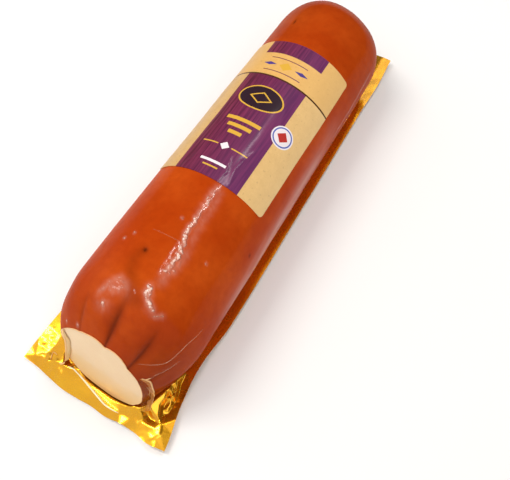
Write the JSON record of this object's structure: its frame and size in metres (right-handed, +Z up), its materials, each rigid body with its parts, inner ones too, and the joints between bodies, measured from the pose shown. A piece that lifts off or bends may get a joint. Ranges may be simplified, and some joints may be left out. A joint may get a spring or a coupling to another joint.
{
  "type": "smoked cheese log in vacuum pack",
  "caption": "Smoked cheese log with a brown rind, a domed end and a pale cut end, vacuum packed on a gold film, with a paper label wrapped over its top.",
  "frame": {"origin": "under the middle of the pack, on the surface that it lies on", "axes": "+Z up, +Y along the pack towards the log's domed end, with the cut end facing -Y, and +X across it"},
  "size_m": [0.121, 0.3754, 0.0953],
  "materials": {
    "rind": "brown smoked rind under tight clear film, glossy",
    "gold_film": "metallised gold film, mirror gloss",
    "label_paper": "printed tan paper, satin"
  },
  "bodies": {
    "root": {"cheese_log": "rind", "backing_film": "gold_film", "label": "label_paper"}
  },
  "joints": []
}
